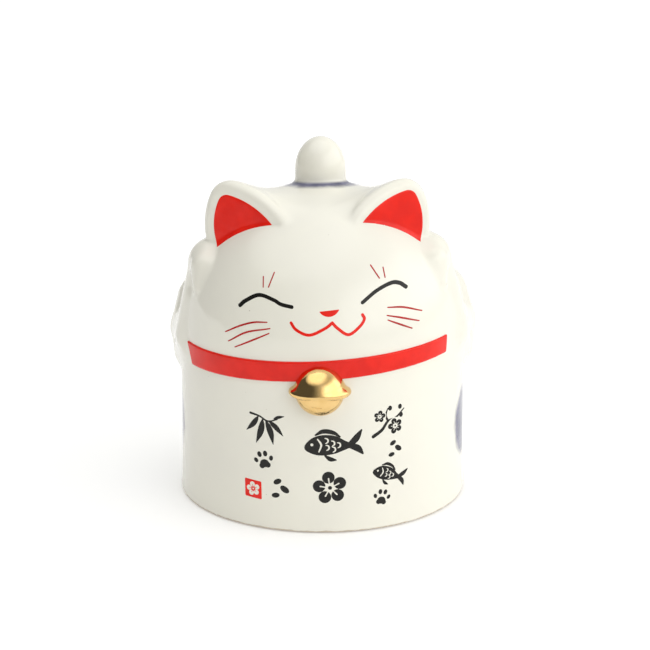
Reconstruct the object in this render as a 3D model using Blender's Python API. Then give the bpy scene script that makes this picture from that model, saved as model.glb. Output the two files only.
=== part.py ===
"""Beckoning cat figurine: a hollow glazed ceramic cat, a round body whose dome is the head.

Metres, +Z up. The cat stands on z = 0 and faces -Y, so its own left side is at +X. Both paws are
raised beside the ears and the tail stands behind the crown. The body is one hollow casting, open
underneath at a casting hole that a soft stopper closes. The ears, arms, tail, bell and collar band
are luted or sprigged onto the casting, and each is a solid of its own with a hairline gap to it.
"""

import math

import bmesh
import bpy
from mathutils import Matrix, Vector

# Body casting.
BODY_RADIUS = 0.050
DOME_BASE = 0.060            # height at which the straight wall turns into the dome
WALL = 0.0045
FOOT_FLARE = 0.0008          # how far the wall spreads at its foot
FOOT_EDGE = 0.0009           # rounding under the flared edge
FOOT_RING_INNER = 0.0443
FOOT_RING_HEIGHT = 0.003
BASE_THICKNESS = 0.005
CASTING_HOLE_RADIUS = 0.013
CAVITY_CORNER = 0.004        # rounding between the inside of the wall and the floor
CAVITY_CORNER_STEPS = 3
GAP = 0.0003                 # left between neighbouring solids
ROUND_SEGMENTS = 64
WALL_RINGS = 6
DOME_RINGS = 16
CAVITY_DOME_RINGS = 9
ON_AXIS = 1e-7               # profile points nearer the axis than this lie on it
WELD_DISTANCE = 3e-6         # seam points nearer each other than this are one
SHARP_ANGLE = math.radians(35)

# The bell stands out in front, so the body's axis sits this far behind the footprint's centre.
BODY_AXIS_Y = 0.0039

# The ears and arms lean together towards the cat's right, about the dome's centre.
FEATURE_TILT = math.radians(1.8)

# Ears, arms: balls (x, y, z, radius) for the cat's left side, from the body's axis, before the lean.
EAR_INNER_FRONT = (0.0165, -0.0195, 0.0985, 0.0030)
EAR_OUTER_FRONT = (0.0362, -0.0116, 0.0908, 0.0035)
EAR_OUTER_SIDE = (0.0343, -0.0075, 0.0985, 0.0058)
EAR_TOP = (0.0290, -0.0083, 0.1074, 0.0060)
EAR_INNER_BACK = (0.0160, 0.0000, 0.1030, 0.0035)
EAR_OUTER_BACK = (0.0330, 0.0050, 0.0930, 0.0045)
RIGHT_EAR_GROWTH = 0.0006    # the cat's right ear is cast a little fuller

ELBOW_LOW = (0.0446, 0.0050, 0.0495, 0.0086)
ELBOW = (0.0450, 0.0065, 0.0575, 0.0095)
UPPER_ARM = (0.0425, 0.0120, 0.0660, 0.0095)
SHOULDER = (0.0370, 0.0160, 0.0750, 0.0080)
FOREARM_LOW = (0.0420, -0.0106, 0.0600, 0.0090)
WRIST = (0.0384, -0.0076, 0.0770, 0.0088)
PAW = (0.0372, -0.0094, 0.0859, 0.0094)
PAW_TIP = (0.0410, -0.0180, 0.0816, 0.0030)
FACET_TURN = math.radians(13)
BALL_SUBDIVISIONS = 2

# Tail: a blunt upright finger.
TAIL_X = -0.0008
TAIL_Y = 0.0075
TAIL_RADIUS = 0.0089
TAIL_TOP = 0.125
TAIL_ROOT = 0.104
TAIL_ROUND_HEIGHT = 0.0115   # height of its rounded end
TAIL_SEGMENTS = 32
TAIL_ROUND_RINGS = 7

# Collar band, low relief, and the bell sprigged over it.
COLLAR_LOW = 0.0544
COLLAR_WIDTH = 0.0069
COLLAR_RELIEF = 0.0006
COLLAR_TILT = math.radians(3.4)
COLLAR_RIGHT_END = math.radians(-67.0)
COLLAR_LEFT_END = math.radians(59.5)
COLLAR_STEPS = 48
COLLAR_ROWS = 4

BELL_HEIGHT = 0.0506
BELL_RADIUS = 0.0087
BELL_CENTRE = Vector((0.0, -0.0499, BELL_HEIGHT))
BELL_FLANGE_REACH = 0.0110   # of the pointed flange, to each side
BELL_FLANGE_THICKNESS = 0.0026
BELL_FLANGE_FRONT = 0.0086   # the flange hardly shows in front
BELL_SEGMENTS = 36
BELL_RINGS = 16

# Soft stopper in the casting hole, clear of the ground the figurine stands on.
STOPPER_FLANGE_RADIUS = 0.016
STOPPER_FLANGE_THICKNESS = 0.0016
STOPPER_NECK_TAPER = 0.0004
STOPPER_NECK_TOP = 0.0115
STOPPER_WALL = 0.0022
STOPPER_CUP_FLOOR = 0.0030
STOPPER_CHAMFER = 0.0006
STOPPER_SEGMENTS = 48

GLAZE_ROUGHNESS = 0.12
ENAMEL_ROUGHNESS = 0.25
LUSTRE_ROUGHNESS = 0.15
PLASTIC_ROUGHNESS = 0.5

PORCELAIN = (0.86, 0.84, 0.77)
RED = (0.80, 0.035, 0.02)
GOLD = (0.83, 0.60, 0.22)
SOFT_PLASTIC = (0.80, 0.79, 0.74)


def clear_scene():
    for obj in list(bpy.data.objects):
        bpy.data.objects.remove(obj, do_unlink=True)


def make_material(name, colour, roughness, metallic=0.0):
    material = bpy.data.materials.new(name)
    material.use_nodes = True
    shader = material.node_tree.nodes["Principled BSDF"]
    shader.inputs["Base Color"].default_value = (*colour, 1.0)
    shader.inputs["Roughness"].default_value = roughness
    shader.inputs["Metallic"].default_value = metallic
    material.diffuse_color = (*colour, 1.0)
    return material


def add_object(name, shape):
    """Puts a bmesh into a new object in the scene and frees the bmesh."""
    mesh = bpy.data.meshes.new(name)
    shape.to_mesh(mesh)
    shape.free()
    obj = bpy.data.objects.new(name, mesh)
    bpy.context.scene.collection.objects.link(obj)
    return obj


def finish_part(obj, material, parent):
    """Gives a sub-part its material and smooth shading and stands it on the body's axis."""
    obj.data.materials.append(material)
    obj.data.shade_smooth()
    obj.data.set_sharp_from_angle(angle=SHARP_ANGLE)
    obj.parent = parent
    return obj


def arc(centre_r, centre_z, radius, start, end, steps):
    """Profile points (r, z) along an arc; angles in degrees, 0 towards +r and 90 up."""
    points = []
    for i in range(steps + 1):
        angle = math.radians(start + (end - start) * i / steps)
        points.append((centre_r + radius * math.cos(angle), centre_z + radius * math.sin(angle)))
    return points


def lathe(profile, segments, closed=False):
    """Turns a profile of (r, z) points about Z; points on the axis become single vertices."""
    shape = bmesh.new()
    rings = []
    for r, z in profile:
        if r < ON_AXIS:
            rings.append([shape.verts.new((0.0, 0.0, z))])
            continue
        ring = []
        for i in range(segments):
            angle = 2 * math.pi * i / segments
            ring.append(shape.verts.new((r * math.cos(angle), r * math.sin(angle), z)))
        rings.append(ring)
    pairs = list(zip(rings, rings[1:]))
    if closed:
        pairs.append((rings[-1], rings[0]))
    for low, high in pairs:
        for i in range(segments):
            corners = [low[i % len(low)], low[(i + 1) % segments % len(low)],
                       high[(i + 1) % segments % len(high)], high[i % len(high)]]
            shape.faces.new(list(dict.fromkeys(corners)))
    bmesh.ops.recalc_face_normals(shape, faces=shape.faces)
    return shape


def hull(balls, turn=0.0):
    """Convex hull of a few balls given as (x, y, z, radius), their facets turned by an angle."""
    cloud = bmesh.new()
    for x, y, z, radius in balls:
        place = Matrix.Translation((x, y, z)) @ Matrix.Rotation(turn, 4, (1.0, 1.0, 1.0))
        bmesh.ops.create_icosphere(cloud, subdivisions=BALL_SUBDIVISIONS, radius=radius, matrix=place)
    shape = bmesh.new()
    for point in cloud.verts:
        shape.verts.new(point.co)
    cloud.free()
    bmesh.ops.convex_hull(shape, input=shape.verts)
    inside = [v for v in shape.verts if not v.link_faces]
    bmesh.ops.delete(shape, geom=inside, context="VERTS")
    bmesh.ops.recalc_face_normals(shape, faces=shape.faces)
    return shape


def combine(obj, operation, others):
    """Applies Boolean modifiers to obj with each of the other objects, then removes those."""
    for other in others:
        modifier = obj.modifiers.new(operation.title(), "BOOLEAN")
        modifier.operation = operation
        modifier.solver = "EXACT"
        modifier.object = other
        graph = bpy.context.evaluated_depsgraph_get()
        result = bpy.data.meshes.new_from_object(obj.evaluated_get(graph))
        obj.modifiers.clear()
        obj.data = result
        bpy.data.objects.remove(other, do_unlink=True)
    return obj


def mirrored(balls):
    return [(-x, y, z, radius) for x, y, z, radius in balls]


def grown(balls, offset):
    return [(x, y, z, radius + offset) for x, y, z, radius in balls]


def tilted(balls):
    """The balls turned about the dome's centre by the lean that the ears and arms share."""
    turn = Matrix.Rotation(-FEATURE_TILT, 4, "Y")
    centre = Vector((0.0, 0.0, DOME_BASE))
    places = [centre + turn @ (Vector(ball[:3]) - centre) for ball in balls]
    return [(*place, ball[3]) for place, ball in zip(places, balls)]


def wall_radius(z):
    """Outer radius of the casting at height z, above its foot."""
    rise = max(0.0, z - DOME_BASE)
    return math.sqrt(BODY_RADIUS ** 2 - rise ** 2)


def body_outline(offset=0.0):
    """Outer profile of the casting from the foot's edge to the top of the dome."""
    points = []
    for i in range(WALL_RINGS):
        share = i / WALL_RINGS
        spread = FOOT_FLARE * (1 - share) ** 3
        z = FOOT_EDGE + (DOME_BASE - FOOT_EDGE) * share ** 1.5
        points.append((BODY_RADIUS + spread + offset, z))
    points += arc(0.0, DOME_BASE, BODY_RADIUS + offset, 0, 90, DOME_RINGS)
    points[-1] = (0.0, points[-1][1])
    return points


def make_body_shell():
    foot_outer = BODY_RADIUS + FOOT_FLARE - FOOT_EDGE
    base_top = FOOT_RING_HEIGHT + BASE_THICKNESS
    cavity_radius = BODY_RADIUS - WALL
    corner = CAVITY_CORNER
    outside = [(FOOT_RING_INNER + FOOT_EDGE, 0.0), (foot_outer, 0.0)] + body_outline()
    cavity = arc(0.0, DOME_BASE, cavity_radius, 90, 0, CAVITY_DOME_RINGS)
    cavity[0] = (0.0, cavity[0][1])
    cavity += arc(cavity_radius - corner, base_top + corner, corner, 0, -90,
                  CAVITY_CORNER_STEPS)
    underside = [(CASTING_HOLE_RADIUS, base_top), (CASTING_HOLE_RADIUS, FOOT_RING_HEIGHT),
                 (FOOT_RING_INNER, FOOT_RING_HEIGHT), (FOOT_RING_INNER, FOOT_EDGE)]
    # The wall and the cavity both start and end on the axis, so they are two profiles of one
    # closed outline: up the outside to the crown, and down the cavity to the casting hole.
    shape = lathe(outside, ROUND_SEGMENTS)
    inner = lathe(cavity + underside + outside[:1], ROUND_SEGMENTS)
    mesh = bpy.data.meshes.new("cavity")
    inner.to_mesh(mesh)
    inner.free()
    shape.from_mesh(mesh)
    bpy.data.meshes.remove(mesh)
    bmesh.ops.remove_doubles(shape, verts=shape.verts, dist=WELD_DISTANCE)
    bmesh.ops.recalc_face_normals(shape, faces=shape.faces)
    return add_object("body_shell", shape)


def casting_cutter():
    """The casting's outside grown by the gap, to cut what is fixed onto it."""
    return add_object("casting_cutter", lathe([(0.0, 0.0)] + body_outline(GAP), ROUND_SEGMENTS))


def make_ear(name, balls):
    ear = add_object(name, hull(balls))
    return combine(ear, "DIFFERENCE", [casting_cutter()])


def make_arm(name, balls, ear_balls):
    """An arm: elbow and upper arm behind, forearm in front, and the paw bent down over it.

    The back of the paw ends at the ear's foot.
    """
    elbow_low, elbow, upper_arm, shoulder, forearm_low, wrist, paw, paw_tip = balls
    stretches = [(elbow_low, elbow, forearm_low), (elbow_low, elbow, upper_arm),
                 (upper_arm, shoulder), (forearm_low, wrist), (wrist, paw), (paw, paw_tip)]
    # Neighbouring stretches share a ball, so each one's facets are turned off its neighbours'.
    hulls = [add_object(f"{name}_stretch", hull(stretch, FACET_TURN * i))
             for i, stretch in enumerate(stretches)]
    arm = combine(hulls[0], "UNION", hulls[1:])
    arm.name = name
    ear_cutter = add_object("ear_cutter", hull(grown(ear_balls, GAP)))
    return combine(arm, "DIFFERENCE", [casting_cutter(), ear_cutter])


def make_tail():
    """A finger of round section, its rounded end half an ellipse."""
    round_base = TAIL_TOP - TAIL_ROUND_HEIGHT
    profile = [(0.0, TAIL_ROOT), (TAIL_RADIUS, TAIL_ROOT)]
    for r, rise in arc(0.0, 0.0, 1.0, 0, 90, TAIL_ROUND_RINGS)[:-1]:
        profile.append((TAIL_RADIUS * r, round_base + TAIL_ROUND_HEIGHT * rise))
    profile.append((0.0, TAIL_TOP))
    shape = lathe(profile, TAIL_SEGMENTS)
    bmesh.ops.translate(shape, vec=(TAIL_X, TAIL_Y, 0.0), verts=shape.verts)
    tail = add_object("tail", shape)
    return combine(tail, "DIFFERENCE", [casting_cutter()])


def bell_ball(name, offset=0.0):
    profile = arc(0.0, 0.0, BELL_RADIUS + offset, -90, 90, BELL_RINGS)
    profile[0] = (0.0, profile[0][1])
    profile[-1] = (0.0, profile[-1][1])
    shape = lathe(profile, BELL_SEGMENTS)
    bmesh.ops.translate(shape, vec=BELL_CENTRE, verts=shape.verts)
    return add_object(name, shape)


def bell_flange():
    """A lens lying level through the bell's middle, long to the sides and short in front."""
    half = BELL_FLANGE_THICKNESS / 2
    shape = lathe([(0.0, -half), (BELL_FLANGE_REACH, 0.0), (0.0, half)], BELL_SEGMENTS)
    squash = (1.0, BELL_FLANGE_FRONT / BELL_FLANGE_REACH, 1.0)
    bmesh.ops.scale(shape, vec=squash, verts=shape.verts)
    bmesh.ops.translate(shape, vec=BELL_CENTRE, verts=shape.verts)
    return add_object("bell_flange", shape)


def make_bell():
    bell = combine(bell_ball("bell"), "UNION", [bell_flange()])
    return combine(bell, "DIFFERENCE", [casting_cutter()])


def make_collar_band():
    """A flat band round the front of the neck, cut out where the bell lies over it."""
    shape = bmesh.new()
    grid = []
    for i in range(COLLAR_STEPS + 1):
        turn = COLLAR_RIGHT_END + (COLLAR_LEFT_END - COLLAR_RIGHT_END) * i / COLLAR_STEPS
        lean = math.tan(COLLAR_TILT) * BODY_RADIUS * math.sin(turn)
        heights = [COLLAR_LOW + lean + COLLAR_WIDTH * j / COLLAR_ROWS for j in range(COLLAR_ROWS + 1)]
        section = [(wall_radius(z) + GAP + COLLAR_RELIEF, z) for z in heights]
        section += [(wall_radius(z) + GAP, z) for z in reversed(heights)]
        grid.append([shape.verts.new((r * math.sin(turn), -r * math.cos(turn), z)) for r, z in section])
    for near, far in zip(grid, grid[1:]):
        for j in range(len(near)):
            k = (j + 1) % len(near)
            shape.faces.new((near[j], near[k], far[k], far[j]))
    for section in (grid[0], grid[-1]):
        for j in range(COLLAR_ROWS):
            k = len(section) - 1 - j
            shape.faces.new((section[j], section[j + 1], section[k - 1], section[k]))
    bmesh.ops.recalc_face_normals(shape, faces=shape.faces)
    band = add_object("collar_band", shape)
    return combine(band, "DIFFERENCE", [bell_ball("bell_cutter", GAP)])


def make_stopper():
    """A flanged plug, hollow from above, whose neck fills the casting hole."""
    flange_top = FOOT_RING_HEIGHT - GAP
    flange_low = flange_top - STOPPER_FLANGE_THICKNESS
    neck = CASTING_HOLE_RADIUS - GAP
    tip = neck - STOPPER_NECK_TAPER
    cup = tip - STOPPER_WALL
    chamfer = STOPPER_CHAMFER
    profile = [(0.0, flange_low), (STOPPER_FLANGE_RADIUS - chamfer, flange_low),
               (STOPPER_FLANGE_RADIUS, flange_low + chamfer), (STOPPER_FLANGE_RADIUS, flange_top),
               (neck, flange_top), (tip, STOPPER_NECK_TOP - chamfer),
               (tip - chamfer, STOPPER_NECK_TOP), (cup, STOPPER_NECK_TOP),
               (cup, STOPPER_CUP_FLOOR), (0.0, STOPPER_CUP_FLOOR)]
    return add_object("base_stopper", lathe(profile, STOPPER_SEGMENTS))


def build():
    clear_scene()
    axis = bpy.data.objects.new("body_axis", None)
    axis.location = (0.0, BODY_AXIS_Y, 0.0)
    bpy.context.scene.collection.objects.link(axis)

    glaze = ("porcelain", PORCELAIN, GLAZE_ROUGHNESS)
    ear = [EAR_INNER_FRONT, EAR_OUTER_FRONT, EAR_OUTER_SIDE, EAR_TOP, EAR_INNER_BACK, EAR_OUTER_BACK]
    arm = [ELBOW_LOW, ELBOW, UPPER_ARM, SHOULDER, FOREARM_LOW, WRIST, PAW, PAW_TIP]
    left_ear, right_ear = tilted(ear), tilted(grown(mirrored(ear), RIGHT_EAR_GROWTH))
    left_arm, right_arm = tilted(arm), tilted(mirrored(arm))
    parts = [
        (make_body_shell(), make_material(*glaze)),
        (make_ear("left_ear", left_ear), make_material(*glaze)),
        (make_ear("right_ear", right_ear), make_material(*glaze)),
        (make_arm("left_arm", left_arm, left_ear), make_material(*glaze)),
        (make_arm("right_arm", right_arm, right_ear), make_material(*glaze)),
        (make_tail(), make_material(*glaze)),
        (make_collar_band(), make_material("red_enamel", RED, ENAMEL_ROUGHNESS)),
        (make_bell(), make_material("gold_lustre", GOLD, LUSTRE_ROUGHNESS, metallic=1.0)),
        (make_stopper(), make_material("soft_plastic", SOFT_PLASTIC, PLASTIC_ROUGHNESS)),
    ]
    for obj, material in parts:
        finish_part(obj, material, axis)


build()
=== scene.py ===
"""Looks of the beckoning cat figurine: glazed porcelain, overglaze painting, gold bell, soft stopper.

Shapes are worked out in millimetres, from the body's axis at floor level, and turned into metres in
the row frame as each mesh is made. The cat faces -Y, so its own left side is at +X.

The ceramic is one glazed skin. It is described as a distance field, whose zero level is meshed on a
grid, and each painted mark is a thin shell of enamel laid onto that skin from a flat drawing.
"""

import math

import bpy
import numpy as np
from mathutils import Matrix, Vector


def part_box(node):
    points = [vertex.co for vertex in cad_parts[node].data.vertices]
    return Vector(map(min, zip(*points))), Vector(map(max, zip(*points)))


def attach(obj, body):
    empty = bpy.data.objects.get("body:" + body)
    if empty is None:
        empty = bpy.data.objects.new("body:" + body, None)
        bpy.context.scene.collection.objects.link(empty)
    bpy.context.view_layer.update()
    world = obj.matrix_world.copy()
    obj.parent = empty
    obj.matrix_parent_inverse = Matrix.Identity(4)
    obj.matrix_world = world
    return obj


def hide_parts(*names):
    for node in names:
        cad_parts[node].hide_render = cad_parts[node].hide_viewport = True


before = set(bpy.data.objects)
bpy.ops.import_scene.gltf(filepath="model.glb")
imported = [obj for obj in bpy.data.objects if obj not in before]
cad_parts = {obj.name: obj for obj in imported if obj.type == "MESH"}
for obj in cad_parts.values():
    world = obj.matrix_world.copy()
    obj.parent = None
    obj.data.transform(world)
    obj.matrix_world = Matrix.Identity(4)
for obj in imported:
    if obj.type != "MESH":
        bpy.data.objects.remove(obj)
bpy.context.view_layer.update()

MM = 0.001                                      # metres in a millimetre
TINY = 1e-6                                     # keeps a divisor off zero
FLARE = 0.8                                     # how far the wall spreads at its foot


def box_mm(node):
    """Lowest and highest corner of a CAD node, in millimetres."""
    return [np.array(corner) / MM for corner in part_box(node)]


BODY_LOW, BODY_HIGH = box_mm("body_shell")
AXIS = np.array([(BODY_LOW[0] + BODY_HIGH[0]) / 2, (BODY_LOW[1] + BODY_HIGH[1]) / 2, 0.0])
RADIUS = (BODY_HIGH[0] - BODY_LOW[0]) / 2 - FLARE
DOME_BASE = BODY_HIGH[2] - RADIUS               # height at which the wall turns into the dome


def inward(corners):
    """Corners of a CAD node, measured from the body's axis."""
    return [corner - AXIS for corner in corners]


TAIL_LOW, TAIL_HIGH = inward(box_mm("tail"))
BELL_LOW, BELL_HIGH = inward(box_mm("bell"))
STOPPER_LOW, STOPPER_HIGH = inward(box_mm("base_stopper"))


# ------------------------------------------------------------------ distance fields

def smooth_min(a, b, blend):
    """The lower of two distances, with the seam between them filled by a fillet."""
    share = np.clip(0.5 + 0.5 * (b - a) / blend, 0, 1)
    return b + (a - b) * share - blend * share * (1 - share)


def smooth_max(a, b, blend):
    return -smooth_min(-a, -b, blend)


def smooth_step(low, high, x):
    t = np.clip((x - low) / (high - low), 0, 1)
    return t * t * (3 - 2 * t)


def cone(points, start, end):
    """Distance to the rounded cone between two balls, each given as its centre and then its radius."""
    start, end = np.array(start, float), np.array(end, float)
    along = end[:-1] - start[:-1]
    length = np.linalg.norm(along)
    from_start = points - start[:-1]
    height = from_start @ (along / length)
    aside = np.linalg.norm(from_start - height[..., None] * (along / length), axis=-1)
    taper = (start[-1] - end[-1]) / length
    slant = math.sqrt(max(1 - taper * taper, TINY))
    share = np.clip((height - aside * taper / slant) / length, 0, 1)
    radius = start[-1] + (end[-1] - start[-1]) * share
    return np.hypot(aside, height - share * length) - radius


def chain(points, *balls):
    """Distance to a limb that runs through the balls one after another."""
    return np.min([cone(points, a, b) for a, b in zip(balls, balls[1:])], axis=0)


# Casting: the wall, the foot under it and the hollow inside.
FOOT_EDGE = 0.9
FOOT_RING_INNER = 44.3
FOOT_RING_HEIGHT = 3.0
BASE_TOP = 8.0
CAVITY_RADIUS = 45.5
CASTING_HOLE_RADIUS = 13.0
CAVITY_CORNER = 4.0                             # between the inside of the wall and of the base
FOOT_ROUND = 0.8
FOOT_SPREAD = (2 / 3, 3)                        # powers by which the flare dies away up the wall
HOLE_RUN = 2                                    # how far the casting hole's cut runs into the cavity


def casting(p):
    """The outside of the body: a wall that spreads a little at its foot, under a half ball."""
    reach = np.hypot(p[..., 0], p[..., 1])
    share = np.clip((p[..., 2] - FOOT_EDGE) / (DOME_BASE - FOOT_EDGE), 0, 1) ** FOOT_SPREAD[0]
    wall = reach - RADIUS - FLARE * (1 - share) ** FOOT_SPREAD[1]
    dome = np.hypot(reach, p[..., 2] - DOME_BASE) - RADIUS
    return np.where(p[..., 2] < DOME_BASE, wall, dome)


def hollow(p):
    """What is missing from the body: the recess inside the foot ring, the casting hole, the cavity."""
    reach, z = np.hypot(p[..., 0], p[..., 1]), p[..., 2]
    recess = smooth_max(reach - FOOT_RING_INNER, z - FOOT_RING_HEIGHT, FOOT_ROUND)
    hole = smooth_max(reach - CASTING_HOLE_RADIUS, z - BASE_TOP - HOLE_RUN, FOOT_ROUND)
    cavity_dome = np.hypot(reach, np.maximum(z - DOME_BASE, 0)) - CAVITY_RADIUS
    cavity = smooth_max(cavity_dome, BASE_TOP - z, CAVITY_CORNER)
    return smooth_min(np.minimum(recess, cavity), hole, FOOT_ROUND)


# Ears and arms lean together towards the cat's right, about the dome's centre.
FEATURE_TILT = math.radians(1.8)


def lean(p, angle):
    """Points turned about the dome's centre in the XZ plane."""
    x, z = p[..., 0], p[..., 2] - DOME_BASE
    c, s = math.cos(angle), math.sin(angle)
    return np.stack([x * c + z * s, p[..., 1], z * c - x * s + DOME_BASE], -1)


def unit(x, y, z):
    direction = np.array([x, y, z], float)
    return direction / np.linalg.norm(direction)


# Ear: a flat front whose outline is two arcs, swept back along a slanting direction.
EAR_CORNER = np.array([15.0, -23.9, 101.0])     # inner lower corner of the red front
EAR_NORMAL = unit(0.458, -0.879, 0.131)
EAR_ACROSS = unit(*np.cross((0, 0, 1), EAR_NORMAL))
EAR_UP = np.cross(EAR_NORMAL, EAR_ACROSS)
EAR_SWEEP = unit(-0.52, 0.80, -0.22)
EAR_RIM = 3.0
EAR_BORDER = 0.5                                # of the rim beyond the arcs, before it rounds
EAR_TIP_ROUND = 5.0
EAR_BACK_TAPER = 0.008
RIGHT_EAR_GROWTH = 0.85                         # the cat's right ear is cast a little fuller
INNER_ARC = (22.7, -22.3, 32.7)                 # centre across and up, radius, in the ear's front
OUTER_ARC = (4.66, -0.63, 19.5)
EAR_FRAME = np.linalg.inv(np.stack([EAR_ACROSS, EAR_UP, EAR_SWEEP], 1))


def arc_side(across, up, arc):
    return np.hypot(across - arc[0], up - arc[1]) - arc[2]


def ear(p, growth):
    """Distance to the ear, and the height above the plane of its front."""
    q = (p - EAR_CORNER) @ EAR_FRAME.T
    across, up, back = q[..., 0], q[..., 1], q[..., 2]
    side = smooth_max(arc_side(across, up, INNER_ARC), arc_side(across, up, OUTER_ARC), EAR_TIP_ROUND)
    side = side - EAR_BORDER - growth - EAR_RIM + EAR_BACK_TAPER * np.maximum(back, 0) ** 2
    front = (p - EAR_CORNER) @ EAR_NORMAL
    a, b = side + EAR_RIM, front + EAR_RIM
    inside = np.minimum(np.maximum(a, b), 0)
    return np.hypot(np.maximum(a, 0), np.maximum(b, 0)) + inside - EAR_RIM, front


# Arm: balls (x, y, z, radius) of the cat's left arm, before the lean.
ELBOW_LOW = (44.6, 5.0, 49.5, 8.6)
ELBOW = (45.0, 6.5, 57.5, 9.3)
UPPER_ARM = (42.5, 12.0, 66.0, 9.5)
SHOULDER = (37.0, 16.0, 75.0, 8.0)
FOREARM_LOW = (42.0, -10.6, 60.0, 9.0)
WRIST = (38.4, -7.6, 77.0, 8.8)
PAW = (36.6, -9.4, 85.0, 8.8)
PALM = (38.3, -14.8, 85.2, 6.2)
PAW_TIP = (41.0, -19.0, 79.3, 2.6)
ARM_FILLET = 4.0                                # between the upper arm and the forearm
CROOK_FILLET = 0.8
PAW_FILLET = 1.0


def arm(p):
    upper = chain(p, ELBOW_LOW, ELBOW, UPPER_ARM, SHOULDER)
    fore = chain(p, FOREARM_LOW, WRIST, PAW)
    crook = chain(p, ELBOW_LOW, FOREARM_LOW, ELBOW)
    bent = smooth_min(smooth_min(upper, fore, ARM_FILLET), crook, CROOK_FILLET)
    return smooth_min(bent, chain(p, PAW, PALM, PAW_TIP), PAW_FILLET)


TAIL_ROUND_HEIGHT = 11.5                        # height of its rounded end
TAIL_RADIUS = (TAIL_HIGH[0] - TAIL_LOW[0]) / 2
TAIL_AXIS = (TAIL_LOW + TAIL_HIGH) / 2


def tail(p):
    reach = np.hypot(p[..., 0] - TAIL_AXIS[0], p[..., 1] - TAIL_AXIS[1])
    rise = np.maximum(p[..., 2] - TAIL_HIGH[2] + TAIL_ROUND_HEIGHT, 0)
    rise = rise * TAIL_RADIUS / TAIL_ROUND_HEIGHT
    return np.hypot(reach, rise) - TAIL_RADIUS


SHOULDER_FILLET = 2.2                           # between the arms and the casting
TAIL_FILLET = 2.2
EAR_CREASE = 0.9                                # tight at the painted front of an ear
EAR_BACK_FILLET = 6.0                           # and this much wider at its back
EAR_BACK = (0.5, 9.0)                           # distances behind the front between which it widens
EAR_SIDES = 5                                   # the ears' difference fades in over this much of X
GROUND_ROUND = 1.2


def skin(p):
    """The whole ceramic figure."""
    leant = lean(p, FEATURE_TILT)
    left_half = np.stack([np.abs(leant[..., 0]), leant[..., 1], leant[..., 2]], -1)
    solid = smooth_min(casting(p), arm(left_half), SHOULDER_FILLET)
    growth = RIGHT_EAR_GROWTH * smooth_step(-EAR_SIDES, EAR_SIDES, -leant[..., 0])
    ear_side, ear_front = ear(left_half, growth)
    crease = EAR_CREASE + EAR_BACK_FILLET * smooth_step(*EAR_BACK, -ear_front)
    solid = smooth_min(solid, ear_side, crease)
    solid = smooth_min(solid, tail(p), TAIL_FILLET)
    solid = smooth_max(solid, -p[..., 2], GROUND_ROUND)
    return smooth_max(solid, -hollow(p), FOOT_ROUND)


# Bell: two half balls, the upper one a little larger, with a flange that runs out to a blunt point
# on each side.
BELL_UPPER = (BELL_HIGH[2] - BELL_LOW[2]) / 2
BELL_STEP = 0.35                                # how much smaller the lower half is
BELL_LOWER = BELL_UPPER - BELL_STEP
FLANGE_BLUNT = 0.5                              # how much the flange's points are worn back
BELL_REACH = (BELL_HIGH[0] - BELL_LOW[0]) / 2 - FLANGE_BLUNT
BELL_FRONT = BELL_UPPER - BELL_STEP             # reach of the flange in front, inside the ball
BELL_CENTRE = (BELL_LOW + BELL_HIGH) / 2
BELL_CENTRE[1] = BELL_LOW[1] + BELL_UPPER
FLANGE_HALF = 1.05
FLANGE_FILLET = 1.0                             # in front, and this much more at the points:
POINT_FILLET = 1.3
MIDDLE = 0.01                                   # keeps a divisor off zero at the bell's middle
BELL_EDGE = 0.5                                 # rounding of the upper half's edge
BELL_SEAM = 0.3
BELL_SLOT = ((-2.8, -7.3, -3.7, 0.32), (0.6, -7.4, -4.0, 0.32))


def bell(p):
    q = p - BELL_CENTRE
    ball = np.linalg.norm(q, axis=-1)
    upper = smooth_max(ball - BELL_UPPER, -q[..., 2], BELL_EDGE)
    aside = (np.hypot(q[..., 0] / BELL_REACH, q[..., 1] / BELL_FRONT) - 1) * BELL_FRONT
    flange = np.hypot(np.maximum(aside + FLANGE_HALF, 0), q[..., 2]) - FLANGE_HALF
    sideways = np.abs(q[..., 0]) / (np.hypot(q[..., 0], q[..., 1]) + MIDDLE)
    whole = smooth_min(upper, flange, FLANGE_FILLET + POINT_FILLET * sideways ** 2)
    whole = smooth_min(whole, ball - BELL_LOWER, BELL_SEAM)
    return smooth_max(whole, -cone(q, *BELL_SLOT), BELL_SEAM)


# Stopper: a flanged plug, hollow from above, with two sealing ribs round its neck and a notch under
# the flange's edge for a thumbnail.
FLANGE_TOP = 2.7
CUP_FLOOR = 3.0
NECK_RADIUS = CASTING_HOLE_RADIUS - 0.3         # the CAD's clearance
NECK_TAPER = 0.045
CUP_RADIUS = 10.1
PLUG_ROUND = 0.6
NECK_ROOT = 1                                   # how far the neck reaches down into the flange
RIBS = (5.2, 8.4)                               # heights of the sealing ribs
RIB_RADIUS = 0.35
RIB_SINK = 0.1                                  # how far a rib's centre is inside the neck
RIB_FILLET = 0.3
CUP_CORNER = 1.0
MOULD_RING = (7.0, 0.3)                         # radius and half width of a ring pressed in its face
RING_EDGE = 0.2
NOTCH_EDGE = 0.4
THUMB_NOTCH = ((-2.5, -16.6, 0.5, 1.5), (2.5, -16.6, 0.5, 1.5))


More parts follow.
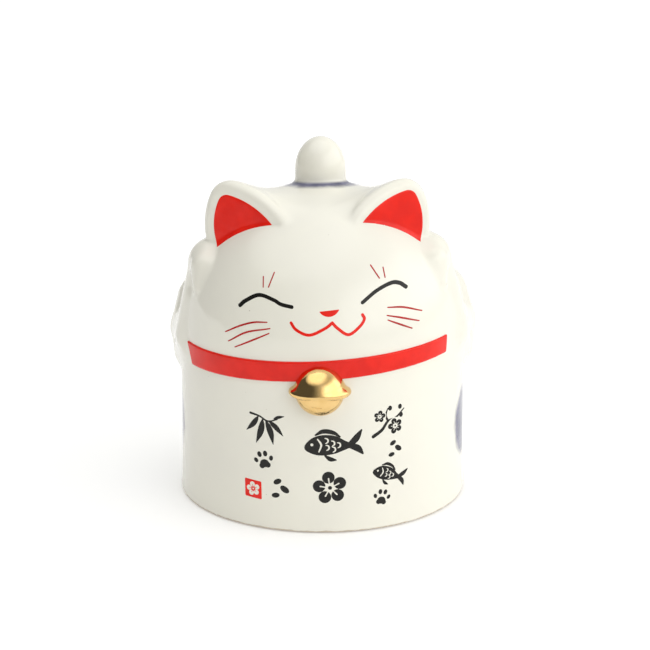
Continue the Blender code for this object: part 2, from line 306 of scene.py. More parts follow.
def stopper(p):
    reach, z = np.hypot(p[..., 0], p[..., 1]), p[..., 2]
    flange = smooth_max(reach - STOPPER_HIGH[0], STOPPER_LOW[2] - z, PLUG_ROUND)
    flange = smooth_max(flange, z - FLANGE_TOP, PLUG_ROUND)
    neck = reach - NECK_RADIUS + NECK_TAPER * (z - FLANGE_TOP)
    neck = smooth_max(neck, z - STOPPER_HIGH[2], PLUG_ROUND)
    neck = np.maximum(neck, FLANGE_TOP - NECK_ROOT - z)
    for height in RIBS:
        aside = reach - NECK_RADIUS + NECK_TAPER * (height - FLANGE_TOP) + RIB_SINK
        neck = smooth_min(neck, np.hypot(aside, z - height) - RIB_RADIUS, RIB_FILLET)
    plug = smooth_min(flange, neck, RIB_FILLET)
    cup = smooth_max(reach - CUP_RADIUS, CUP_FLOOR - z, CUP_CORNER)
    plug = smooth_max(plug, -cup, PLUG_ROUND)
    ring = np.hypot(reach - MOULD_RING[0], z - STOPPER_LOW[2]) - MOULD_RING[1]
    plug = smooth_max(plug, -ring, RING_EDGE)
    return smooth_max(plug, -cone(p, *THUMB_NOTCH), NOTCH_EDGE)


# ------------------------------------------------------------------ meshing a field

BLOCK = 12
NEAR = 1.6                                      # a field may change this much faster than distance


def sample(field, axes):
    """The field on a grid, worked out only in the blocks that its surface may cross."""
    step = axes[0][1] - axes[0][0]
    reach = BLOCK * step * math.sqrt(3) / 2 * NEAR
    values = np.empty([len(a) for a in axes], np.float32)
    starts = [range(0, len(a), BLOCK) for a in axes]
    for i in starts[0]:
        for j in starts[1]:
            for k in starts[2]:
                cut = [a[n:n + BLOCK] for a, n in zip(axes, (i, j, k))]
                middle = np.array([(c[0] + c[-1]) / 2 for c in cut])
                distance = field(middle)
                if abs(distance) < reach:
                    distance = field(np.stack(np.meshgrid(*cut, indexing="ij"), -1))
                values[i:i + BLOCK, j:j + BLOCK, k:k + BLOCK] = distance
    return values


def cell_points(values, axes):
    """One point in each cell that the surface crosses, and the cells' numbering."""
    inside = values < 0
    count = np.zeros([n - 1 for n in values.shape], np.int8)
    for corner in np.ndindex(2, 2, 2):
        cut = tuple(slice(c, n - 1 + c) for c, n in zip(corner, values.shape))
        count += inside[cut]
    crossed = (count > 0) & (count < 8)
    number = np.full(crossed.shape, -1)
    number[crossed] = np.arange(crossed.sum())
    cells = np.argwhere(crossed)
    total, hits = np.zeros((len(cells), 3)), np.zeros(len(cells))
    for axis in range(3):
        for aside in np.ndindex(2, 2):
            near = np.insert(aside, axis, 0)
            far = np.insert(aside, axis, 1)
            a, b = values[tuple((cells + near).T)], values[tuple((cells + far).T)]
            cut = (a < 0) != (b < 0)
            share = a[cut] / (a[cut] - b[cut])
            total[cut] += cells[cut] + near + (far - near) * share[:, None]
            hits[cut] += 1
    step = axes[0][1] - axes[0][0]
    low = np.array([a[0] for a in axes])
    return low + step * total / hits[:, None], number


def cell_faces(values, number):
    """A quad round each grid edge that the surface crosses, facing out."""
    inside = values < 0
    quads = []
    for axis in range(3):
        near, far = [slice(None)] * 3, [slice(None)] * 3
        near[axis], far[axis] = slice(0, -1), slice(1, None)
        edges = np.argwhere(inside[tuple(near)] != inside[tuple(far)])
        b, c = (axis + 1) % 3, (axis + 2) % 3
        whole = (edges[:, b] > 0) & (edges[:, c] > 0)
        whole &= (edges[:, b] < values.shape[b] - 1) & (edges[:, c] < values.shape[c] - 1)
        edges = edges[whole]
        ring = []
        for db, dc in ((-1, -1), (0, -1), (0, 0), (-1, 0)):
            cell = edges.copy()
            cell[:, b] += db
            cell[:, c] += dc
            ring.append(number[tuple(cell.T)])
        quad = np.stack(ring, 1)
        outward = inside[tuple(edges.T)]
        quad[~outward] = quad[~outward][:, ::-1]
        quads.append(quad)
    return np.concatenate(quads)


PROBE = 0.02                                    # step for measuring slopes
LEAST_SLOPE = 0.05                              # squared, so that no point is thrown far


def gradient(field, points):
    shifts = np.eye(3) * PROBE
    slopes = [field(points + s) - field(points - s) for s in shifts]
    return np.stack(slopes, -1) / (2 * PROBE)


def settle(field, points, steps=3, reach=0.6):
    """Points moved onto the field's zero level, and the surface normals there."""
    for _ in range(steps):
        slope = gradient(field, points)
        steepness = np.maximum((slope * slope).sum(-1), LEAST_SLOPE)
        points = points - np.clip(field(points) / steepness, -reach, reach)[..., None] * slope
    slope = gradient(field, points)
    return points, slope / np.maximum(np.linalg.norm(slope, axis=-1, keepdims=True), TINY)


def new_object(name, points, faces, material, normals=None):
    """A mesh object from points in millimetres from the body's axis."""
    mesh = bpy.data.meshes.new(name)
    mesh.from_pydata(((points + AXIS) * MM).tolist(), [], [list(f) for f in faces])
    mesh.shade_smooth()
    if normals is not None:
        mesh.normals_split_custom_set_from_vertices(normals.tolist())
    mesh.materials.append(material)
    obj = bpy.data.objects.new(name, mesh)
    bpy.context.scene.collection.objects.link(obj)
    return obj


def mesh_field(name, field, low, high, step, material):
    """An object that is the field's zero level."""
    axes = [np.arange(a, b + step, step) for a, b in zip(low, high)]
    values = sample(field, axes)
    points, number = cell_points(values, axes)
    faces = cell_faces(values, number)
    points, normals = settle(field, points)
    return new_object(name, points, faces.tolist(), material, normals)


# ------------------------------------------------------------------ flat drawings

def smooth_line(points, steps=8):
    """Points on a smooth curve through the given ones, which may carry widths as further columns."""
    p = np.array(points, float)
    if len(p) == 2:
        return p
    p = np.vstack([2 * p[0] - p[1], p, 2 * p[-1] - p[-2]])
    t = np.linspace(0, 1, steps, endpoint=False)[:, None]
    runs = []
    for a, b, c, d in zip(p, p[1:], p[2:], p[3:]):
        bend = 2 * a - 5 * b + 4 * c - d
        twist = 3 * b - a - 3 * c + d
        runs.append(b + 0.5 * ((c - a) * t + bend * t ** 2 + twist * t ** 3))
    return np.vstack([*runs, p[-2:-1]])


def stroke(*points):
    """A brush stroke through points (across, up, half width)."""
    balls = smooth_line(points)
    return lambda q: chain(q, *balls)


def disc(across, up, radius, flat=1.0, turn=0.0):
    """A round or oval spot: flat is its height over its width."""
    c, s = math.cos(turn), math.sin(turn)

    def distance(q):
        x, y = q[..., 0] - across, q[..., 1] - up
        return (np.hypot(x * c + y * s, (y * c - x * s) / flat) - radius) * min(flat, 1.0)
    return distance


def union(*shapes):
    return lambda q: np.min([shape(q) for shape in shapes], axis=0)


def without(shape, *holes):
    """The shape with the holes left unpainted."""
    return lambda q: np.max([shape(q)] + [-hole(q) for hole in holes], axis=0)


def placed(shape, across, up, size, turn):
    """The shape moved, resized and turned."""
    c, s = math.cos(turn), math.sin(turn)

    def distance(q):
        x, y = (q[..., 0] - across) / size, (q[..., 1] - up) / size
        return shape(np.stack([x * c + y * s, y * c - x * s], -1)) * size
    return distance


KEEP_OFF = 0.03                                 # of a grid step, between an outline and a grid point


def inside_polygons(values):
    """Where a grid's values are below zero: vertices as fractional indices, and polygons."""
    inside = values < 0
    corner_ids, crossing_ids, vertices, polygons = {}, {}, [], []

    def corner(i, j):
        if (i, j) not in corner_ids:
            corner_ids[i, j] = len(vertices)
            vertices.append((i, j))
        return corner_ids[i, j]

    def crossing(a, b):
        key = (min(a, b), max(a, b))
        if key not in crossing_ids:
            crossing_ids[key] = len(vertices)
            share = values[key[0]] / (values[key[0]] - values[key[1]])
            share = min(max(share, KEEP_OFF), 1 - KEEP_OFF)
            vertices.append(tuple(m + (n - m) * share for m, n in zip(*key)))
        return crossing_ids[key]

    touched = inside[:-1, :-1] | inside[1:, :-1] | inside[1:, 1:] | inside[:-1, 1:]
    for i, j in np.argwhere(touched).tolist():
        ring = [(i, j), (i + 1, j), (i + 1, j + 1), (i, j + 1)]
        polygon = []
        for a, b in zip(ring, ring[1:] + ring[:1]):
            if inside[a]:
                polygon.append(corner(*a))
            if inside[a] != inside[b]:
                polygon.append(crossing(a, b))
        polygons.append(polygon)
    return np.array(vertices, float), polygons


SINK = 0.2                                      # how far enamel reaches into the glaze under it
SHARP = math.radians(50)
RIM_SHARE = 0.3                                 # of a mark's height that it has at its very edge


def enamel(name, shape, box, chart, material, lift=0.06, edge=0.35, step=0.16):
    """A mark laid on the skin: shape is drawn in a flat box (left, low, right, high), and chart bends it
    onto the figure. The mark rises by lift over a rounded edge."""
    across = np.arange(box[0], box[2] + step, step)
    up = np.arange(box[1], box[3] + step, step)
    values = shape(np.stack(np.meshgrid(across, up, indexing="ij"), -1))
    grid, polygons = inside_polygons(values)
    flat = grid * step + np.array([across[0], up[0]])
    depth = np.clip(-shape(flat) / edge, 0, 1)
    height = lift * (RIM_SHARE + (1 - RIM_SHARE) * np.sqrt(1 - (1 - depth) ** 2))
    points, normals = settle(skin, chart(flat), steps=4, reach=3.0)
    top = points + normals * height[:, None]
    bottom = points - normals * SINK
    used = {(a, b) for p in polygons for a, b in zip(p, p[1:] + p[:1])}
    rim = [(a, b) for a, b in used if (b, a) not in used]
    count = len(flat)
    faces = [list(p) for p in polygons]
    faces += [[v + count for v in reversed(p)] for p in polygons]
    faces += [[b, a, a + count, b + count] for a, b in sorted(rim)]
    if not faces_out(top, polygons[0], normals):
        faces = [f[::-1] for f in faces]
    obj = new_object(name, np.vstack([top, bottom]), faces, material)
    obj.data.set_sharp_from_angle(angle=SHARP)
    return obj


def faces_out(points, polygon, normals):
    a, b, c = points[polygon[:3]]
    return np.cross(b - a, c - a) @ normals[polygon[0]] > 0


# Charts, from a flat drawing to the figure.

def front_chart(q):
    """Seen straight from the front: across is X and up is Z."""
    rise = np.maximum(q[:, 1] - DOME_BASE, 0)
    depth = np.sqrt(np.maximum(RADIUS ** 2 - q[:, 0] ** 2 - rise ** 2, 1.0))
    return np.stack([q[:, 0], -depth, q[:, 1]], -1)


def wrap_chart(q):
    """Wrapped round the wall: across is the length along it from the front."""
    angle = q[:, 0] / RADIUS
    return np.stack([RADIUS * np.sin(angle), -RADIUS * np.cos(angle), q[:, 1]], -1)


def ear_chart(side):
    """The flat front of the ear on that side, 1 for the cat's left."""
    def chart(q):
        point = EAR_CORNER + q[:, :1] * EAR_ACROSS + q[:, 1:] * EAR_UP
        return lean(point * [side, 1, 1], -FEATURE_TILT)
    return chart


# ------------------------------------------------------------------ materials

class Nodes:
    """Short calls for building one material's nodes, in metres in the object's own coordinates."""

    def __init__(self, name):
        self.material = bpy.data.materials.new(name)
        self.material.use_nodes = True
        self.tree = self.material.node_tree
        self.shader = self.tree.nodes["Principled BSDF"]
        self.place = self.add("ShaderNodeTexCoord").outputs["Object"]

    def add(self, kind, **settings):
        node = self.tree.nodes.new(kind)
        for key, value in settings.items():
            setattr(node, key, value)
        return node

    def link(self, source, target):
        if isinstance(source, (int, float, tuple)):
            target.default_value = source
        else:
            self.tree.links.new(source, target)

    def math(self, operation, a, b=0.0, c=0.0):
        node = self.add("ShaderNodeMath", operation=operation)
        for socket, value in zip(node.inputs, (a, b, c)):
            self.link(value, socket)
        return node.outputs[0]

    def noise(self, scale, detail):
        node = self.add("ShaderNodeTexNoise")
        for key, value in (("Vector", self.place), ("Scale", scale), ("Detail", detail)):
            self.link(value, node.inputs[key])
        return node.outputs["Fac"]

    def ramp(self, value, low, high, to_low=0.0, to_high=1.0):
        """value taken from low..high to to_low..to_high, easing at both ends."""
        node = self.add("ShaderNodeMapRange", interpolation_type="SMOOTHSTEP")
        for socket, number in zip(node.inputs, (value, low, high, to_low, to_high)):
            self.link(number, socket)
        return node.outputs[0]

    def mix(self, factor, a, b):
        node = self.add("ShaderNodeMix", data_type="RGBA")
        self.link(factor, node.inputs["Factor"])
        for socket, colour in ((node.inputs[6], a), (node.inputs[7], b)):
            self.link((*colour, 1.0) if isinstance(colour, tuple) else colour, socket)
        return node.outputs[2]

    def distance(self, centre, stretch=(1, 1, 1)):
        """Distance from a point in millimetres, in metres, with each axis stretched."""
        shift = self.add("ShaderNodeVectorMath", operation="SUBTRACT")
        self.link(self.place, shift.inputs[0])
        shift.inputs[1].default_value = (np.array(centre) + AXIS) * MM
        scale = self.add("ShaderNodeVectorMath", operation="MULTIPLY")
        self.link(shift.outputs[0], scale.inputs[0])
        scale.inputs[1].default_value = stretch
        length = self.add("ShaderNodeVectorMath", operation="LENGTH")
        self.link(scale.outputs[0], length.inputs[0])
        return length.outputs["Value"]

    def height(self):
        node = self.add("ShaderNodeSeparateXYZ")
        self.link(self.place, node.inputs[0])
        return node.outputs["Z"]

    def bump(self, value, distance, strength):
        node = self.add("ShaderNodeBump")
        node.inputs["Strength"].default_value = strength
        node.inputs["Distance"].default_value = distance
        self.link(value, node.inputs["Height"])
        self.link(node.outputs["Normal"], self.shader.inputs["Normal"])

    def set(self, **sockets):
        for key, value in sockets.items():
            self.link(value, self.shader.inputs[key.replace("_", " ").title()])


WHITE = (0.85, 0.83, 0.730)
WHITE_THIN = (0.825, 0.805, 0.715)
INDIGO = (0.15, 0.15, 0.24)
INDIGO_DEEP = (0.075, 0.078, 0.15)
BISCUIT = (0.64, 0.56, 0.45)
SPECK = (0.25, 0.19, 0.13)
CLAY_SHADE = 0.85                               # the darker patches of the bare clay
GLAZE_IOR = 1.52
GLAZE_ROUGHNESS = (0.07, 0.13)
CLAY_ROUGHNESS = 0.6                            # added where the clay is bare
GLAZE_WAVE = 0.0008                             # metres
GLAZE_END = (0.0011, 0.0014)                    # heights between which it stops, in metres
SPOT_HEIGHT = 27.0                              # of the cobalt spots on the flanks
SPOT_TURNS = (math.radians(83), math.radians(-90))
SPOT_RADIUS = 12.5
CROWN_RADIUS = 13.6                             # of the spot round the tail's root
CROWN_BACK = 1                                  # its centre's distance behind the tail's
CROWN_FLAT = (1, 1, 0.6)
SPOT_FADE = (-0.4, 3.8)                         # the cobalt bleeds away over this much of its edge
SPOT_RAGGED = 0.0035                            # metres
PAINT_ROUGHNESS = (0.10, 0.2)
PAINT_SPECULAR = 0.28


def porcelain():
    n = Nodes("porcelain_glaze")
    tone = n.mix(n.ramp(n.noise(35, 3), 0.35, 0.65), WHITE, WHITE_THIN)
    specks, patches = n.ramp(n.noise(900, 1), 0.78, 0.82), n.ramp(n.noise(120, 1), 0.55, 0.6)
    fleck = n.math("MULTIPLY", specks, patches)
    tone = n.mix(n.math("MULTIPLY", fleck, 0.5), tone, SPECK)

    def spot(centre, radius, stretch=(1, 1, 1)):
        wander = n.math("MULTIPLY", n.noise(180, 3), SPOT_RAGGED)
        ragged = n.math("ADD", n.distance(centre, stretch), wander)
        return n.ramp(ragged, *((radius + fade) * MM for fade in SPOT_FADE), 1.0, 0.0)

    sides = [(RADIUS * math.sin(turn), -RADIUS * math.cos(turn), SPOT_HEIGHT) for turn in SPOT_TURNS]
    masks = [spot(centre, SPOT_RADIUS) for centre in sides]
    crown_centre = (TAIL_AXIS[0], TAIL_AXIS[1] + CROWN_BACK, DOME_BASE + RADIUS)
    crown = spot(crown_centre, CROWN_RADIUS, CROWN_FLAT)
    surface = ((RADIUS + 0.2) * MM, (RADIUS + 1.2) * MM)
    on_dome = n.ramp(n.distance((0, 0, DOME_BASE)), *surface, 1.0, 0.0)
    masks.append(n.math("MULTIPLY", crown, on_dome))
    paint = n.math("MAXIMUM", n.math("MAXIMUM", masks[0], masks[1]), masks[2])
    brushed = n.mix(n.ramp(n.noise(140, 4), 0.35, 0.65), INDIGO, INDIGO_DEEP)
    tone = n.mix(paint, tone, brushed)

    # Bare clay: on the foot's face, and all over the inside above the base.
    edge = n.math("MULTIPLY_ADD", n.noise(260, 2), 0.0012, n.height())
    foot = n.ramp(edge, *GLAZE_END, 1.0, 0.0)
    inner = (CAVITY_RADIUS + 0.4) * MM
    shell = n.math("LESS_THAN", n.distance((0, 0, DOME_BASE)), inner)
    bore = n.math("LESS_THAN", n.distance((0, 0, 0), (1, 1, 0)), inner)
    low = n.math("LESS_THAN", n.height(), DOME_BASE * MM)
    within = n.math("MAXIMUM", shell, n.math("MULTIPLY", bore, low))
    above_base = n.math("GREATER_THAN", n.height(), (FOOT_RING_HEIGHT + 0.5) * MM)
    within = n.math("MULTIPLY", within, above_base)
    bare = n.math("MAXIMUM", foot, within)
    clay = n.mix(n.noise(400, 4), BISCUIT, tuple(CLAY_SHADE * c for c in BISCUIT))
    gloss = n.ramp(n.noise(60, 3), 0.3, 0.7, *GLAZE_ROUGHNESS)
    n.set(base_color=n.mix(bare, tone, clay),
          roughness=n.math("MULTIPLY_ADD", bare, CLAY_ROUGHNESS, gloss))
    n.shader.inputs["IOR"].default_value = GLAZE_IOR
    wave = n.math("ADD", n.noise(45, 2), n.math("MULTIPLY", n.noise(500, 2), 0.02))
    n.bump(wave, GLAZE_WAVE, 0.5)
    return n.material


def paint_material(name, colour, pooled):
    """Overglaze enamel, a little deeper in colour where it pooled."""
    n = Nodes(name)
    n.set(base_color=n.mix(n.ramp(n.noise(160, 3), 0.3, 0.7), colour, pooled),
          roughness=n.ramp(n.noise(320, 2), 0.3, 0.7, *PAINT_ROUGHNESS))
    n.shader.inputs["Specular IOR Level"].default_value = PAINT_SPECULAR
    n.bump(n.noise(220, 2), 0.0003, 0.35)
    return n.material


GOLD, GOLD_DEEP = (0.84, 0.58, 0.25), (0.78, 0.52, 0.20)
GOLD_ROUGHNESS = (0.07, 0.14)
PLASTIC, PLASTIC_DULL = (0.80, 0.79, 0.74), (0.72, 0.71, 0.66)
PLASTIC_ROUGHNESS = (0.38, 0.52)
PLASTIC_SCATTER = (0.004, 0.0035, 0.003)        # metres


def gold_lustre():
    n = Nodes("gold_lustre")
    tone = n.mix(n.ramp(n.noise(300, 3), 0.3, 0.7), GOLD, GOLD_DEEP)
    n.set(base_color=tone, roughness=n.ramp(n.noise(420, 3), 0.3, 0.7, *GOLD_ROUGHNESS))
    n.shader.inputs["Metallic"].default_value = 1.0
    n.bump(n.noise(260, 2), 0.0003, 0.4)
    return n.material


def soft_plastic():
    n = Nodes("soft_plastic")
    tone = n.mix(n.noise(220, 3), PLASTIC, PLASTIC_DULL)
    n.set(base_color=tone, roughness=n.ramp(n.noise(600, 3), 0.3, 0.7, *PLASTIC_ROUGHNESS))
    n.shader.inputs["Subsurface Weight"].default_value = 0.25
    n.shader.inputs["Subsurface Radius"].default_value = PLASTIC_SCATTER
    n.bump(n.noise(1500, 2), 0.0001, 0.4)
    return n.material


# ------------------------------------------------------------------ pieces

def on_body(obj, body="cat", replaces=()):
    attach(obj, body)
    if replaces:
        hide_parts(*replaces)


SKIN_STEP = 1.04         # grid steps of the meshes
BELL_GRID, STOPPER_GRID = 0.35, 0.4
MARGIN = 1.5                                    # of a grid round its shape
SKIN_REACH = (58, 54)                           # of the skin's grid, to each side and front and back


def make_skin():
    across, along = SKIN_REACH
    low = [-across, -along, -MARGIN]
    high = [across, along, TAIL_HIGH[2] + MARGIN]
    skin_object = mesh_field("glazed_body", skin, low, high, SKIN_STEP, porcelain())
    cad = ["body_shell", "left_ear", "right_ear", "left_arm", "right_arm", "tail"]
    on_body(skin_object, replaces=cad)


INNER_BORDER, OUTER_BORDER = 0.8, 0.75          # white left between the red and the arcs
RED_TIP_ROUND = 2.5
RED_OFF_DOME = (0.1, -0.07)                     # at the inner corner, and its change across the ear
EAR_RED_BOX = (-2, -12, 26, 12)


def ear_red(q):
    """The painted front of an ear: inside both arcs and down to the dome."""
    inner = arc_side(q[..., 0], q[..., 1], INNER_ARC) + INNER_BORDER
    outer = arc_side(q[..., 0], q[..., 1], OUTER_ARC) + OUTER_BORDER
    point = EAR_CORNER + q[..., :1] * EAR_ACROSS + q[..., 1:] * EAR_UP
    reach = np.linalg.norm(point - [0, 0, DOME_BASE], axis=-1)
    below = RADIUS + RED_OFF_DOME[0] + RED_OFF_DOME[1] * q[..., 0] - reach
    return np.maximum(smooth_max(inner, outer, RED_TIP_ROUND), below)


def make_ear_reds(material):
    for name, side in (("left_ear_red", 1), ("right_ear_red", -1)):
        piece = enamel(name, ear_red, EAR_RED_BOX, ear_chart(side), material,
                       lift=0.14, edge=0.5, step=0.25)
        on_body(piece)


EYE = 0.6                                       # half widths of the brush lines
MOUTH = 0.5
FINE = 0.25
FINE_SWELL = (0.8, 0.4)                         # share of it at the ends, and what the middle adds
FACE_BOX = (-36, 60, 38, 94)                    # left, low, right and high edge of the face


def fine(*points):
    """A thin line that swells a little in the middle."""
    ends, middle = FINE_SWELL
    shares = [math.sin(math.pi * i / (len(points) - 1)) for i in range(len(points))]
    return stroke(*[(x, z, FINE * (ends + middle * share)) for (x, z), share in zip(points, shares)])


def level(points, half_width):
    """A line of one width."""
    return stroke(*[(x, z, half_width) for x, z in points])


NOSE_BALL = (2.9, 79.6, 3.9)                    # the round bottom: centre across and up, radius
NOSE_TOP = (2.8, 77.65, 0.09)                   # a point on the flat top, and its slope
NOSE_CORNER = 0.3


def nose(q):
    """A flat top over a shallow round bottom."""
    ball = arc_side(q[..., 0], q[..., 1], NOSE_BALL)
    across, up, slope = NOSE_TOP
    top = (q[..., 1] - up) - slope * (q[..., 0] - across)
    return smooth_max(ball, top, NOSE_CORNER)


def make_face(red, fine_red, black):
    right_eye = level([(-27.0, 77.0), (-24.9, 78.9), (-20.4, 81.2), (-15.5, 80.2), (-13.1, 79.1),
                       (-9.4, 78.5)], EYE)
    left_eye = level([(14.1, 79.7), (18.7, 82.8), (23.5, 84.5), (26.4, 84.1), (28.7, 82.5)], EYE)
    box = FACE_BOX
    for name, shape in (("left_eye", left_eye), ("right_eye", right_eye)):
        on_body(enamel(name, shape, box, front_chart, black))
    right_lip = [(-9.6, 73.5), (-7.8, 71.3), (-3.5, 69.8), (1.7, 72.0), (4.1, 73.8)]
    left_lip = [(4.1, 73.8), (6.0, 71.9), (9.5, 69.8), (13.0, 72.0), (14.7, 74.4), (14.1, 75.9)]
    mouth = union(level(right_lip, MOUTH), level(left_lip, MOUTH))
    on_body(enamel("mouth", mouth, box, front_chart, red))
    on_body(enamel("nose", nose, box, front_chart, red))
    brows = union(
        fine((-19.1, 86.8), (-19.1, 83.7)), fine((-15.4, 88.4), (-17.3, 83.9)),
        fine((16.7, 90.5), (19.7, 86.4)), fine((20.9, 89.4), (21.6, 86.4)))
    on_body(enamel("brow_lines", brows, box, front_chart, fine_red))
    right_whiskers = union(
        fine((-32.0, 67.5), (-27.2, 70.4), (-22.3, 72.4), (-17.7, 73.0)),
        fine((-31.0, 64.6), (-24.7, 68.8), (-16.7, 71.1)),
        fine((-28.7, 63.1), (-22.8, 66.4), (-17.0, 69.5)))
    left_whiskers = union(
        fine((22.5, 77.3), (27.9, 76.5), (34.1, 74.1)),
        fine((22.3, 74.8), (27.3, 73.3), (33.2, 71.1)),
        fine((22.6, 73.3), (26.9, 71.2), (30.8, 69.2)))
    for name, shape in (("left_whiskers", left_whiskers), ("right_whiskers", right_whiskers)):
        on_body(enamel(name, shape, box, front_chart, fine_red))


# Pictures brushed on the chest, each drawn about its own centre at a size of about one.
PETALS = 5                                      # of a blossom


def fish():
    """A plump sea bream, brushed in one colour, with its eye, gill and scales left bare."""
    body = stroke((-0.50, 0.02, 0.04), (-0.40, 0.04, 0.13), (-0.20, 0.05, 0.225), (0.05, 0.03, 0.215),
                  (0.28, -0.02, 0.12), (0.44, -0.05, 0.055))
    tail_fin = union(stroke((0.42, -0.05, 0.05), (0.60, 0.08, 0.075), (0.74, 0.24, 0.02)),
                     stroke((0.42, -0.05, 0.05), (0.60, -0.15, 0.075), (0.70, -0.30, 0.02)))
    back_fin = stroke((-0.26, 0.30, 0.02), (-0.08, 0.36, 0.05), (0.12, 0.30, 0.045),
                      (0.26, 0.18, 0.015))
    belly_fin = stroke((-0.12, -0.20, 0.02), (-0.02, -0.29, 0.05), (0.10, -0.33, 0.015))
    eye = disc(-0.37, 0.09, 0.033)
    gill = stroke((-0.23, 0.20, 0.014), (-0.17, 0.06, 0.022), (-0.24, -0.09, 0.014))
    scales = [stroke((x - 0.03, z + 0.06, 0.010), (x + 0.015, z + 0.04, 0.016), (x + 0.03, z, 0.018),
                     (x + 0.015, z - 0.04, 0.016), (x - 0.03, z - 0.06, 0.010))
              for x, z in ((-0.04, 0.14), (-0.04, -0.02), (0.09, 0.06), (0.09, -0.08), (0.21, 0.0))]
    return without(union(body, tail_fin, back_fin, belly_fin), eye, gill, *scales)


def blossom():
    """Round petals about a bare centre with a dot in it."""
    turns = [2 * math.pi * (i + 0.25) / PETALS for i in range(PETALS)]
    leaves = [disc(0.30 * math.cos(t), 0.30 * math.sin(t), 0.172) for t in turns]
    veins = [stroke((0.13 * math.cos(t), 0.13 * math.sin(t), 0.016),
                    (0.27 * math.cos(t), 0.27 * math.sin(t), 0.020)) for t in turns]
    return union(without(union(*leaves), disc(0, 0, 0.125), *veins), disc(0, 0, 0.055))


def leaf(x, z, turn, length):
    return placed(stroke((0, 0, 0.02), (0.25, 0.03, 0.11), (0.55, 0.03, 0.12), (1, -0.03, 0.01)),
                  x, z, length, math.radians(turn))


def bamboo():
    """A thin twig with a fan of drooping leaves."""
    twig = stroke((-0.46, 0.40, 0.035), (-0.16, 0.34, 0.026), (0.10, 0.22, 0.026),
                  (0.40, 0.30, 0.014))
    leaves = [leaf(x, z, turn, length) for x, z, turn, length in (
        (-0.20, 0.33, -128, 0.62), (-0.06, 0.26, -104, 0.78), (0.04, 0.22, -70, 0.74),
        (0.14, 0.22, -42, 0.60), (0.28, 0.30, 20, 0.36))]
    return union(twig, *leaves)


def sprig():
    """A bent twig with a flower, a half-open one and buds."""
    twig = stroke((-0.52, -0.40, 0.055), (-0.24, -0.22, 0.050), (-0.05, 0.02, 0.040),
                  (0.22, 0.10, 0.034), (0.50, 0.34, 0.018))
    side_twig = stroke((-0.05, 0.02, 0.035), (-0.12, 0.22, 0.030), (-0.06, 0.42, 0.016))
    flower = placed(blossom(), 0.20, -0.16, 0.52, 0.3)
    small = placed(blossom(), -0.32, 0.20, 0.40, 1.1)
    buds = [disc(x, z, 0.065, 1.2) for x, z in ((0.02, 0.42), (0.40, 0.16), (0.36, 0.42))]
    return union(without(union(twig, side_twig), disc(0.20, -0.16, 0.27), disc(-0.32, 0.20, 0.21)),
                 flower, small, *buds)


def paw_print():
    """A cat's pad and four toes."""
    pad = union(disc(0, -0.16, 0.20, 0.85), disc(-0.13, -0.24, 0.12), disc(0.13, -0.24, 0.12))
    toes = [disc(x, z, r, 1.3, turn) for x, z, r, turn in (
        (-0.34, 0.02, 0.085, 0.45), (-0.13, 0.24, 0.095, 0.12), (0.13, 0.24, 0.095, -0.12),
        (0.34, 0.02, 0.085, -0.45))]
    return union(pad, *toes)


def petals():
    """Three fallen petals."""
    return union(*[disc(x, z, r, 0.62, turn) for x, z, r, turn in (
        (-0.10, 0.30, 0.19, 0.5), (0.22, -0.02, 0.22, -0.6), (-0.18, -0.32, 0.18, 0.2))])


# Name, picture, and where it stands: across and up on the chest in millimetres, size, turn.
MARKS = (
    ("fish", fish(), (3.2, 31.0, 15.6, math.radians(8))),
    ("blossom", blossom(), (3.4, 16.2, 12.4, 0.15)),
    ("bamboo", bamboo(), (-19.2, 36.3, 11.6, 0.0)),
    ("right_paw_print", paw_print(), (-19.6, 24.9, 8.4, 0.25)),
    ("low_petals", petals(), (-13.8, 15.2, 8.0, 0.0)),
    ("plum_sprig", sprig(), (24.3, 38.0, 11.4, 0.0)),
    ("fallen_petals", petals(), (26.4, 28.2, 6.6, 0.0)),
    ("small_fish", fish(), (23.6, 19.2, 10.4, math.radians(-14))),
    ("left_paw_print", paw_print(), (21.6, 11.4, 7.4, -0.2)),
)

SEAL_AT = (-23.6, 13.8)
SEAL_HALF = 3.2
SEAL_SHEAR = (0.03, 0.07)
SEAL_CORNER = 0.5


def seal(q):
    """A hand-cut stamp, a square pulled a little out of true."""
    x, y = q[..., 0] - SEAL_AT[0], q[..., 1] - SEAL_AT[1]
    x, y = x + SEAL_SHEAR[0] * y, y + SEAL_SHEAR[1] * x
    return smooth_max(np.abs(x) - SEAL_HALF, np.abs(y) - SEAL_HALF, SEAL_CORNER)


PAINT_LIFT, PAINT_EDGE = 0.05, 0.3              # height of the chest's paint, and its rounded edge
PICTURE_REACH = 0.8                             # of a picture's size, from its centre
SEAL_FLOWER = (5.4, 0.2)                        # size and turn of the flower left bare in the stamp


def brushed(name, picture, centre, reach, material, step):
    """A picture in enamel on the chest, within reach of a centre each way."""
    across, up = centre
    box = (across - reach, up - reach, across + reach, up + reach)
    return enamel(name, picture, box, wrap_chart, material, PAINT_LIFT, PAINT_EDGE, step)


def make_chest(red, black):
    for name, picture, place in MARKS:
        reach = PICTURE_REACH * place[2]
        on_body(brushed(name, placed(picture, *place), place[:2], reach, black, 0.14))
    stamp = without(seal, placed(blossom(), *SEAL_AT, *SEAL_FLOWER))
    on_body(brushed("seal_stamp", stamp, SEAL_AT, SEAL_HALF + 2, red, 0.12))


